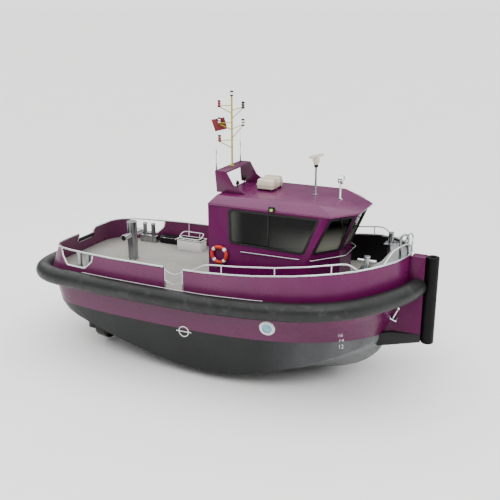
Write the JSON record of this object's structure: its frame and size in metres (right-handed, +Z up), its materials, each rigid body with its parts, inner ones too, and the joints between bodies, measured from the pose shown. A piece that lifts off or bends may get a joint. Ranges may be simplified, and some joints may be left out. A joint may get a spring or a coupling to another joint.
{
  "type": "tugboat",
  "caption": "Small harbour tug with a hard-chine steel hull, round rubber fender, bow push knee, raked wheelhouse, lattice-armed light mast and open towing deck",
  "frame": {"origin": "on the centreline amidships at the waterline", "axes": "+X forward to the bow, +Y to port, +Z up"},
  "size_m": [12.8235, 5.716, 8.37],
  "materials": {
    "hull_topsides": "glossy purple marine enamel",
    "hull_bottom": "matt dark antifouling",
    "deck": "grey non-slip deck paint",
    "bulwark_aft": "glossy purple marine enamel",
    "bulwark_forward": "glossy purple marine enamel",
    "cap_rail_aft_starboard": "polished stainless tube",
    "cap_rail_aft_port": "polished stainless tube",
    "cap_rail_forward": "polished stainless tube",
    "fender_starboard": "black rubber, matt",
    "fender_port": "black rubber, matt",
    "bow_knee": "glossy purple marine enamel",
    "bow_fender": "black rubber, matt",
    "skeg": "matt dark antifouling",
    "tow_post": "worn bare steel",
    "bollard_starboard": "worn bare steel",
    "bollard_port": "worn bare steel",
    "deck_locker": "black coated",
    "cross_bollard_starboard": "worn bare steel",
    "cross_bollard_port": "worn bare steel",
    "bow_staple": "worn bare steel",
    "stern_roller": "black coated",
    "hatch_coaming": "light grey enamel",
    "hatch_lid": "black coated",
    "gate_chains_starboard": "polished stainless tube",
    "gate_chains_port": "polished stainless tube",
    "guard_rail_starboard": "polished stainless tube",
    "guard_rail_port": "polished stainless tube",
    "wheelhouse": "glossy purple marine enamel",
    "glass_corner_starboard": "tinted toughened glass",
    "glass_corner_port": "tinted toughened glass",
    "glass_front": "tinted toughened glass",
    "glass_side_starboard": "tinted toughened glass",
    "glass_side_port": "tinted toughened glass",
    "wheelhouse_door": "glossy purple marine enamel",
    "wheelhouse_floor": "grey non-slip deck paint",
    "helm_seat": "black vinyl",
    "wheelhouse_roof": "glossy purple marine enamel",
    "mast_arch": "glossy purple marine enamel",
    "light_mast": "yellow enamel",
    "flag": "red woven cloth",
    "whip_starboard": "white enamel",
    "whip_port": "white enamel",
    "floodlights": "black coated",
    "liferaft": "beige moulded GRP",
    "radar_post": "white enamel",
    "radar_scanner": "white enamel",
    "searchlight_post": "white enamel",
    "searchlight_head": "polished stainless tube",
    "sidelight_starboard": "black coated",
    "sidelight_port": "black coated",
    "life_ring": "orange shell",
    "anchor": "polished stainless tube",
    "nozzle_starboard": "matt dark antifouling",
    "shaft_tube_starboard": "matt dark antifouling",
    "propeller_starboard": "cast propeller bronze",
    "rudder_starboard": "matt dark antifouling",
    "nozzle_port": "matt dark antifouling",
    "shaft_tube_port": "matt dark antifouling",
    "propeller_port": "cast propeller bronze",
    "rudder_port": "matt dark antifouling"
  },
  "bodies": {
    "boat": {"hull_topsides": "hull_topsides", "hull_bottom": "hull_bottom", "deck": "deck", "bulwark_aft": "bulwark_aft", "bulwark_forward": "bulwark_forward", "cap_rail_aft_starboard": "cap_rail_aft_starboard", "cap_rail_aft_port": "cap_rail_aft_port", "cap_rail_forward": "cap_rail_forward", "fender_starboard": "fender_starboard", "fender_port": "fender_port", "bow_knee": "bow_knee", "bow_fender": "bow_fender", "skeg": "skeg", "tow_post": "tow_post", "bollard_starboard": "bollard_starboard", "bollard_port": "bollard_port", "deck_locker": "deck_locker", "cross_bollard_starboard": "cross_bollard_starboard", "cross_bollard_port": "cross_bollard_port", "bow_staple": "bow_staple", "stern_roller": "stern_roller", "hatch_coaming": "hatch_coaming", "gate_chains_starboard": "gate_chains_starboard", "gate_chains_port": "gate_chains_port", "guard_rail_starboard": "guard_rail_starboard", "guard_rail_port": "guard_rail_port", "wheelhouse": "wheelhouse", "glass_corner_starboard": "glass_corner_starboard", "glass_corner_port": "glass_corner_port", "glass_front": "glass_front", "glass_side_starboard": "glass_side_starboard", "glass_side_port": "glass_side_port", "wheelhouse_floor": "wheelhouse_floor", "helm_seat": "helm_seat", "wheelhouse_roof": "wheelhouse_roof", "mast_arch": "mast_arch", "light_mast": "light_mast", "flag": "flag", "whip_starboard": "whip_starboard", "whip_port": "whip_port", "floodlights": "floodlights", "liferaft": "liferaft", "radar_post": "radar_post", "searchlight_post": "searchlight_post", "sidelight_starboard": "sidelight_starboard", "sidelight_port": "sidelight_port", "life_ring": "life_ring", "anchor": "anchor", "nozzle_starboard": "nozzle_starboard", "shaft_tube_starboard": "shaft_tube_starboard", "nozzle_port": "nozzle_port", "shaft_tube_port": "shaft_tube_port"},
    "propeller_port": {"propeller_port": "propeller_port"},
    "propeller_starboard": {"propeller_starboard": "propeller_starboard"},
    "rudder_port": {"rudder_port": "rudder_port"},
    "rudder_starboard": {"rudder_starboard": "rudder_starboard"},
    "wheelhouse_door": {"wheelhouse_door": "wheelhouse_door"},
    "hatch_lid": {"hatch_lid": "hatch_lid"},
    "radar_scanner": {"radar_scanner": "radar_scanner"},
    "searchlight_head": {"searchlight_head": "searchlight_head"}
  },
  "joints": [
    {"name": "propeller_port_spin", "type": "hinge", "parent": "boat", "child": "propeller_port", "pos_m": [-4.02, 0.95, -0.935], "axis": [1, 0, 0], "continuous": true},
    {"name": "propeller_starboard_spin", "type": "hinge", "parent": "boat", "child": "propeller_starboard", "pos_m": [-4.02, -0.95, -0.935], "axis": [1, 0, 0], "continuous": true},
    {"name": "rudder_port_steer", "type": "hinge", "parent": "boat", "child": "rudder_port", "pos_m": [-4.53, 0.95, -0.95], "axis": [0, 0, 1], "range_deg": [-35, 35]},
    {"name": "rudder_starboard_steer", "type": "hinge", "parent": "boat", "child": "rudder_starboard", "pos_m": [-4.53, -0.95, -0.95], "axis": [0, 0, 1], "range_deg": [-35, 35]},
    {"name": "door_hinge", "type": "hinge", "parent": "boat", "child": "wheelhouse_door", "pos_m": [0.105, -0.355, 2.27], "axis": [0, 0, 1], "range_deg": [0, 110]},
    {"name": "hatch_hinge", "type": "hinge", "parent": "boat", "child": "hatch_lid", "pos_m": [-2.18, 1.975, 1.545], "axis": [-1, 0, 0], "range_deg": [0, 95]},
    {"name": "radar_turn", "type": "hinge", "parent": "boat", "child": "radar_scanner", "pos_m": [2.96, 0, 4.95], "axis": [0, 0, 1], "continuous": true},
    {"name": "searchlight_pan", "type": "hinge", "parent": "boat", "child": "searchlight_head", "pos_m": [3.72, 0, 4.4], "axis": [0, 0, 1], "range_deg": [-170, 170]}
  ],
  "couplings": [
    {"joint": "rudder_starboard_steer", "follows": "rudder_port_steer", "ratio": 1}
  ]
}
